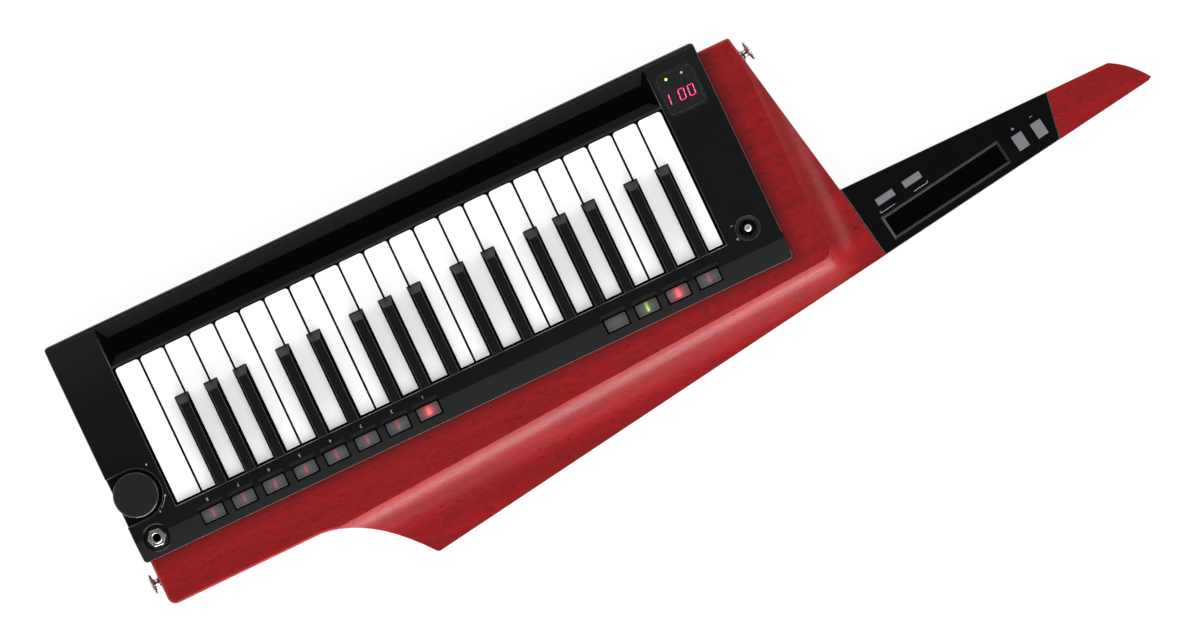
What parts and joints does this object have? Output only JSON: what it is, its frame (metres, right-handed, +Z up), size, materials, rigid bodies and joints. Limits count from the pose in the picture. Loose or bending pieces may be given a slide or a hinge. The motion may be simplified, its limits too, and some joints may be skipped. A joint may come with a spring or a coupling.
{
  "type": "keytar",
  "caption": "Strap-worn keyboard with a slim neck: red wooden body, black control panel, sprung slim keys, lit buttons, finger ribbons and a volume knob.",
  "frame": {"origin": "under the middle of the whole instrument, on the surface that its flat back lies on", "axes": "+X from the neck to the tail, +Y from the keys' fronts to the spike, +Z up out of the keys"},
  "size_m": [0.8494, 0.2658, 0.062],
  "materials": {
    "stained_wood": "satin lacquer over a deep red stain, dark grain along the neck",
    "panel_plastic": "fine matte black moulding",
    "pad_rubber": "soft mid grey silicone",
    "chassis_plastic": "matte black moulding",
    "cover_plastic": "textured black moulding",
    "jack_nickel": "bright nickel plate",
    "pin_chrome": "bright chrome plate",
    "knob_plastic": "soft matte black with a ribbed side",
    "button_cap": "smoked translucent cap lit from below",
    "white_key": "smooth satin white",
    "black_key": "smooth satin black",
    "ribbon_film": "deep gloss black touch film",
    "display_light": "lit red segments and lamps",
    "panel_print": "thin grey print"
  },
  "bodies": {
    "body": {"wood_body": "stained_wood", "top_panel": "panel_plastic", "neck_panel": "panel_plastic", "neck_keypad": "pad_rubber", "keybed_chassis": "chassis_plastic", "rear_cover": "cover_plastic", "headphone_jack": "jack_nickel", "strap_pin_tail": "pin_chrome", "strap_pin_horn": "pin_chrome"},
    "volume_knob": {"volume_knob": "knob_plastic"},
    "lever_switch": {"lever_switch": "pin_chrome"},
    "mode_button_1": {"mode_button_1": "button_cap"},
    "mode_button_2": {"mode_button_2": "button_cap"},
    "mode_button_3": {"mode_button_3": "button_cap"},
    "mode_button_4": {"mode_button_4": "button_cap"},
    "program_button_1": {"program_button_1": "button_cap"},
    "program_button_2": {"program_button_2": "button_cap"},
    "program_button_3": {"program_button_3": "button_cap"},
    "program_button_4": {"program_button_4": "button_cap"},
    "program_button_5": {"program_button_5": "button_cap"},
    "program_button_6": {"program_button_6": "button_cap"},
    "program_button_7": {"program_button_7": "button_cap"},
    "program_button_8": {"program_button_8": "button_cap"},
    "white_key_c1": {"white_key_c1": "white_key"},
    "black_key_c_sharp1": {"black_key_c_sharp1": "black_key"},
    "white_key_d1": {"white_key_d1": "white_key"},
    "black_key_d_sharp1": {"black_key_d_sharp1": "black_key"},
    "white_key_e1": {"white_key_e1": "white_key"},
    "white_key_f1": {"white_key_f1": "white_key"},
    "black_key_f_sharp1": {"black_key_f_sharp1": "black_key"},
    "white_key_g1": {"white_key_g1": "white_key"},
    "black_key_g_sharp1": {"black_key_g_sharp1": "black_key"},
    "white_key_a1": {"white_key_a1": "white_key"},
    "black_key_a_sharp1": {"black_key_a_sharp1": "black_key"},
    "white_key_b1": {"white_key_b1": "white_key"},
    "white_key_c2": {"white_key_c2": "white_key"},
    "black_key_c_sharp2": {"black_key_c_sharp2": "black_key"},
    "white_key_d2": {"white_key_d2": "white_key"},
    "black_key_d_sharp2": {"black_key_d_sharp2": "black_key"},
    "white_key_e2": {"white_key_e2": "white_key"},
    "white_key_f2": {"white_key_f2": "white_key"},
    "black_key_f_sharp2": {"black_key_f_sharp2": "black_key"},
    "white_key_g2": {"white_key_g2": "white_key"},
    "black_key_g_sharp2": {"black_key_g_sharp2": "black_key"},
    "white_key_a2": {"white_key_a2": "white_key"},
    "black_key_a_sharp2": {"black_key_a_sharp2": "black_key"},
    "white_key_b2": {"white_key_b2": "white_key"},
    "white_key_c3": {"white_key_c3": "white_key"},
    "black_key_c_sharp3": {"black_key_c_sharp3": "black_key"},
    "white_key_d3": {"white_key_d3": "white_key"},
    "black_key_d_sharp3": {"black_key_d_sharp3": "black_key"},
    "white_key_e3": {"white_key_e3": "white_key"},
    "white_key_f3": {"white_key_f3": "white_key"},
    "black_key_f_sharp3": {"black_key_f_sharp3": "black_key"},
    "white_key_g3": {"white_key_g3": "white_key"},
    "black_key_g_sharp3": {"black_key_g_sharp3": "black_key"},
    "white_key_a3": {"white_key_a3": "white_key"},
    "black_key_a_sharp3": {"black_key_a_sharp3": "black_key"},
    "white_key_b3": {"white_key_b3": "white_key"},
    "white_key_c4": {"white_key_c4": "white_key"}
  },
  "joints": [
    {"name": "volume_knob_turn", "type": "hinge", "parent": "body", "child": "volume_knob", "pos_m": [0.4029, -0.0036, 0.05], "axis": [0, 0, 1], "range_deg": [-140, 140]},
    {"name": "lever_switch_turn", "type": "hinge", "parent": "body", "child": "lever_switch", "pos_m": [-0.099, 0.0118, 0.043], "axis": [1, 0, 0], "range_deg": [-12, 12], "stiffness_Nm_per_rad": 0.12},
    {"name": "mode_button_1_press", "type": "slide", "parent": "body", "child": "mode_button_1", "axis": [0, 0, -1], "range_m": [0, 0.0008], "stiffness_N_per_m": 800, "springref_m": -0.001},
    {"name": "mode_button_2_press", "type": "slide", "parent": "body", "child": "mode_button_2", "axis": [0, 0, -1], "range_m": [0, 0.0008], "stiffness_N_per_m": 800, "springref_m": -0.001},
    {"name": "mode_button_3_press", "type": "slide", "parent": "body", "child": "mode_button_3", "axis": [0, 0, -1], "range_m": [0, 0.0008], "stiffness_N_per_m": 800, "springref_m": -0.001},
    {"name": "mode_button_4_press", "type": "slide", "parent": "body", "child": "mode_button_4", "axis": [0, 0, -1], "range_m": [0, 0.0008], "stiffness_N_per_m": 800, "springref_m": -0.001},
    {"name": "program_button_1_press", "type": "slide", "parent": "body", "child": "program_button_1", "axis": [0, 0, -1], "range_m": [0, 0.0008], "stiffness_N_per_m": 800, "springref_m": -0.001},
    {"name": "program_button_2_press", "type": "slide", "parent": "body", "child": "program_button_2", "axis": [0, 0, -1], "range_m": [0, 0.0008], "stiffness_N_per_m": 800, "springref_m": -0.001},
    {"name": "program_button_3_press", "type": "slide", "parent": "body", "child": "program_button_3", "axis": [0, 0, -1], "range_m": [0, 0.0008], "stiffness_N_per_m": 800, "springref_m": -0.001},
    {"name": "program_button_4_press", "type": "slide", "parent": "body", "child": "program_button_4", "axis": [0, 0, -1], "range_m": [0, 0.0008], "stiffness_N_per_m": 800, "springref_m": -0.001},
    {"name": "program_button_5_press", "type": "slide", "parent": "body", "child": "program_button_5", "axis": [0, 0, -1], "range_m": [0, 0.0008], "stiffness_N_per_m": 800, "springref_m": -0.001},
    {"name": "program_button_6_press", "type": "slide", "parent": "body", "child": "program_button_6", "axis": [0, 0, -1], "range_m": [0, 0.0008], "stiffness_N_per_m": 800, "springref_m": -0.001},
    {"name": "program_button_7_press", "type": "slide", "parent": "body", "child": "program_button_7", "axis": [0, 0, -1], "range_m": [0, 0.0008], "stiffness_N_per_m": 800, "springref_m": -0.001},
    {"name": "program_button_8_press", "type": "slide", "parent": "body", "child": "program_button_8", "axis": [0, 0, -1], "range_m": [0, 0.0008], "stiffness_N_per_m": 800, "springref_m": -0.001},
    {"name": "white_key_c1_turn", "type": "hinge", "parent": "body", "child": "white_key_c1", "pos_m": [-0.06725, 0.024, 0.042], "axis": [1, 0, 0], "range_deg": [0, 3.81], "stiffness_Nm_per_rad": 0.35, "springref_deg": -10.31},
    {"name": "black_key_c_sharp1_turn", "type": "hinge", "parent": "body", "child": "black_key_c_sharp1", "pos_m": [-0.0595, 0.024, 0.042], "axis": [1, 0, 0], "range_deg": [0, 4.6], "stiffness_Nm_per_rad": 0.25, "springref_deg": -10.31},
    {"name": "white_key_d1_turn", "type": "hinge", "parent": "body", "child": "white_key_d1", "pos_m": [-0.04655, 0.024, 0.042], "axis": [1, 0, 0], "range_deg": [0, 3.81], "stiffness_Nm_per_rad": 0.35, "springref_deg": -10.31},
    {"name": "black_key_d_sharp1_turn", "type": "hinge", "parent": "body", "child": "black_key_d_sharp1", "pos_m": [-0.0337, 0.024, 0.042], "axis": [1, 0, 0], "range_deg": [0, 4.6], "stiffness_Nm_per_rad": 0.25, "springref_deg": -10.31},
    {"name": "white_key_e1_turn", "type": "hinge", "parent": "body", "child": "white_key_e1", "pos_m": [-0.02585, 0.024, 0.042], "axis": [1, 0, 0], "range_deg": [0, 3.81], "stiffness_Nm_per_rad": 0.35, "springref_deg": -10.31},
    {"name": "white_key_f1_turn", "type": "hinge", "parent": "body", "child": "white_key_f1", "pos_m": [-0.00515, 0.024, 0.042], "axis": [1, 0, 0], "range_deg": [0, 3.81], "stiffness_Nm_per_rad": 0.35, "springref_deg": -10.31},
    {"name": "black_key_f_sharp1_turn", "type": "hinge", "parent": "body", "child": "black_key_f_sharp1", "pos_m": [0.0018, 0.024, 0.042], "axis": [1, 0, 0], "range_deg": [0, 4.6], "stiffness_Nm_per_rad": 0.25, "springref_deg": -10.31},
    {"name": "white_key_g1_turn", "type": "hinge", "parent": "body", "child": "white_key_g1", "pos_m": [0.01555, 0.024, 0.042], "axis": [1, 0, 0], "range_deg": [0, 3.81], "stiffness_Nm_per_rad": 0.35, "springref_deg": -10.31},
    {"name": "black_key_g_sharp1_turn", "type": "hinge", "parent": "body", "child": "black_key_g_sharp1", "pos_m": [0.0259, 0.024, 0.042], "axis": [1, 0, 0], "range_deg": [0, 4.6], "stiffness_Nm_per_rad": 0.25, "springref_deg": -10.31},
    {"name": "white_key_a1_turn", "type": "hinge", "parent": "body", "child": "white_key_a1", "pos_m": [0.03625, 0.024, 0.042], "axis": [1, 0, 0], "range_deg": [0, 3.81], "stiffness_Nm_per_rad": 0.35, "springref_deg": -10.31},
    {"name": "black_key_a_sharp1_turn", "type": "hinge", "parent": "body", "child": "black_key_a_sharp1", "pos_m": [0.05, 0.024, 0.042], "axis": [1, 0, 0], "range_deg": [0, 4.6], "stiffness_Nm_per_rad": 0.25, "springref_deg": -10.31},
    {"name": "white_key_b1_turn", "type": "hinge", "parent": "body", "child": "white_key_b1", "pos_m": [0.05695, 0.024, 0.042], "axis": [1, 0, 0], "range_deg": [0, 3.81], "stiffness_Nm_per_rad": 0.35, "springref_deg": -10.31},
    {"name": "white_key_c2_turn", "type": "hinge", "parent": "body", "child": "white_key_c2", "pos_m": [0.07765, 0.024, 0.042], "axis": [1, 0, 0], "range_deg": [0, 3.81], "stiffness_Nm_per_rad": 0.35, "springref_deg": -10.31},
    {"name": "black_key_c_sharp2_turn", "type": "hinge", "parent": "body", "child": "black_key_c_sharp2", "pos_m": [0.0854, 0.024, 0.042], "axis": [1, 0, 0], "range_deg": [0, 4.6], "stiffness_Nm_per_rad": 0.25, "springref_deg": -10.31},
    {"name": "white_key_d2_turn", "type": "hinge", "parent": "body", "child": "white_key_d2", "pos_m": [0.09835, 0.024, 0.042], "axis": [1, 0, 0], "range_deg": [0, 3.81], "stiffness_Nm_per_rad": 0.35, "springref_deg": -10.31},
    {"name": "black_key_d_sharp2_turn", "type": "hinge", "parent": "body", "child": "black_key_d_sharp2", "pos_m": [0.1112, 0.024, 0.042], "axis": [1, 0, 0], "range_deg": [0, 4.6], "stiffness_Nm_per_rad": 0.25, "springref_deg": -10.31},
    {"name": "white_key_e2_turn", "type": "hinge", "parent": "body", "child": "white_key_e2", "pos_m": [0.11905, 0.024, 0.042], "axis": [1, 0, 0], "range_deg": [0, 3.81], "stiffness_Nm_per_rad": 0.35, "springref_deg": -10.31},
    {"name": "white_key_f2_turn", "type": "hinge", "parent": "body", "child": "white_key_f2", "pos_m": [0.13975, 0.024, 0.042], "axis": [1, 0, 0], "range_deg": [0, 3.81], "stiffness_Nm_per_rad": 0.35, "springref_deg": -10.31},
    {"name": "black_key_f_sharp2_turn", "type": "hinge", "parent": "body", "child": "black_key_f_sharp2", "pos_m": [0.1467, 0.024, 0.042], "axis": [1, 0, 0], "range_deg": [0, 4.6], "stiffness_Nm_per_rad": 0.25, "springref_deg": -10.31},
    {"name": "white_key_g2_turn", "type": "hinge", "parent": "body", "child": "white_key_g2", "pos_m": [0.16045, 0.024, 0.042], "axis": [1, 0, 0], "range_deg": [0, 3.81], "stiffness_Nm_per_rad": 0.35, "springref_deg": -10.31},
    {"name": "black_key_g_sharp2_turn", "type": "hinge", "parent": "body", "child": "black_key_g_sharp2", "pos_m": [0.1708, 0.024, 0.042], "axis": [1, 0, 0], "range_deg": [0, 4.6], "stiffness_Nm_per_rad": 0.25, "springref_deg": -10.31},
    {"name": "white_key_a2_turn", "type": "hinge", "parent": "body", "child": "white_key_a2", "pos_m": [0.18115, 0.024, 0.042], "axis": [1, 0, 0], "range_deg": [0, 3.81], "stiffness_Nm_per_rad": 0.35, "springref_deg": -10.31},
    {"name": "black_key_a_sharp2_turn", "type": "hinge", "parent": "body", "child": "black_key_a_sharp2", "pos_m": [0.1949, 0.024, 0.042], "axis": [1, 0, 0], "range_deg": [0, 4.6], "stiffness_Nm_per_rad": 0.25, "springref_deg": -10.31},
    {"name": "white_key_b2_turn", "type": "hinge", "parent": "body", "child": "white_key_b2", "pos_m": [0.20185, 0.024, 0.042], "axis": [1, 0, 0], "range_deg": [0, 3.81], "stiffness_Nm_per_rad": 0.35, "springref_deg": -10.31},
    {"name": "white_key_c3_turn", "type": "hinge", "parent": "body", "child": "white_key_c3", "pos_m": [0.22255, 0.024, 0.042], "axis": [1, 0, 0], "range_deg": [0, 3.81], "stiffness_Nm_per_rad": 0.35, "springref_deg": -10.31},
    {"name": "black_key_c_sharp3_turn", "type": "hinge", "parent": "body", "child": "black_key_c_sharp3", "pos_m": [0.2303, 0.024, 0.042], "axis": [1, 0, 0], "range_deg": [0, 4.6], "stiffness_Nm_per_rad": 0.25, "springref_deg": -10.31},
    {"name": "white_key_d3_turn", "type": "hinge", "parent": "body", "child": "white_key_d3", "pos_m": [0.24325, 0.024, 0.042], "axis": [1, 0, 0], "range_deg": [0, 3.81], "stiffness_Nm_per_rad": 0.35, "springref_deg": -10.31},
    {"name": "black_key_d_sharp3_turn", "type": "hinge", "parent": "body", "child": "black_key_d_sharp3", "pos_m": [0.2561, 0.024, 0.042], "axis": [1, 0, 0], "range_deg": [0, 4.6], "stiffness_Nm_per_rad": 0.25, "springref_deg": -10.31},
    {"name": "white_key_e3_turn", "type": "hinge", "parent": "body", "child": "white_key_e3", "pos_m": [0.26395, 0.024, 0.042], "axis": [1, 0, 0], "range_deg": [0, 3.81], "stiffness_Nm_per_rad": 0.35, "springref_deg": -10.31},
    {"name": "white_key_f3_turn", "type": "hinge", "parent": "body", "child": "white_key_f3", "pos_m": [0.28465, 0.024, 0.042], "axis": [1, 0, 0], "range_deg": [0, 3.81], "stiffness_Nm_per_rad": 0.35, "springref_deg": -10.31},
    {"name": "black_key_f_sharp3_turn", "type": "hinge", "parent": "body", "child": "black_key_f_sharp3", "pos_m": [0.2916, 0.024, 0.042], "axis": [1, 0, 0], "range_deg": [0, 4.6], "stiffness_Nm_per_rad": 0.25, "springref_deg": -10.31},
    {"name": "white_key_g3_turn", "type": "hinge", "parent": "body", "child": "white_key_g3", "pos_m": [0.30535, 0.024, 0.042], "axis": [1, 0, 0], "range_deg": [0, 3.81], "stiffness_Nm_per_rad": 0.35, "springref_deg": -10.31},
    {"name": "black_key_g_sharp3_turn", "type": "hinge", "parent": "body", "child": "black_key_g_sharp3", "pos_m": [0.3157, 0.024, 0.042], "axis": [1, 0, 0], "range_deg": [0, 4.6], "stiffness_Nm_per_rad": 0.25, "springref_deg": -10.31},
    {"name": "white_key_a3_turn", "type": "hinge", "parent": "body", "child": "white_key_a3", "pos_m": [0.32605, 0.024, 0.042], "axis": [1, 0, 0], "range_deg": [0, 3.81], "stiffness_Nm_per_rad": 0.35, "springref_deg": -10.31},
    {"name": "black_key_a_sharp3_turn", "type": "hinge", "parent": "body", "child": "black_key_a_sharp3", "pos_m": [0.3398, 0.024, 0.042], "axis": [1, 0, 0], "range_deg": [0, 4.6], "stiffness_Nm_per_rad": 0.25, "springref_deg": -10.31},
    {"name": "white_key_b3_turn", "type": "hinge", "parent": "body", "child": "white_key_b3", "pos_m": [0.34675, 0.024, 0.042], "axis": [1, 0, 0], "range_deg": [0, 3.81], "stiffness_Nm_per_rad": 0.35, "springref_deg": -10.31},
    {"name": "white_key_c4_turn", "type": "hinge", "parent": "body", "child": "white_key_c4", "pos_m": [0.36745, 0.024, 0.042], "axis": [1, 0, 0], "range_deg": [0, 3.81], "stiffness_Nm_per_rad": 0.35, "springref_deg": -10.31}
  ]
}
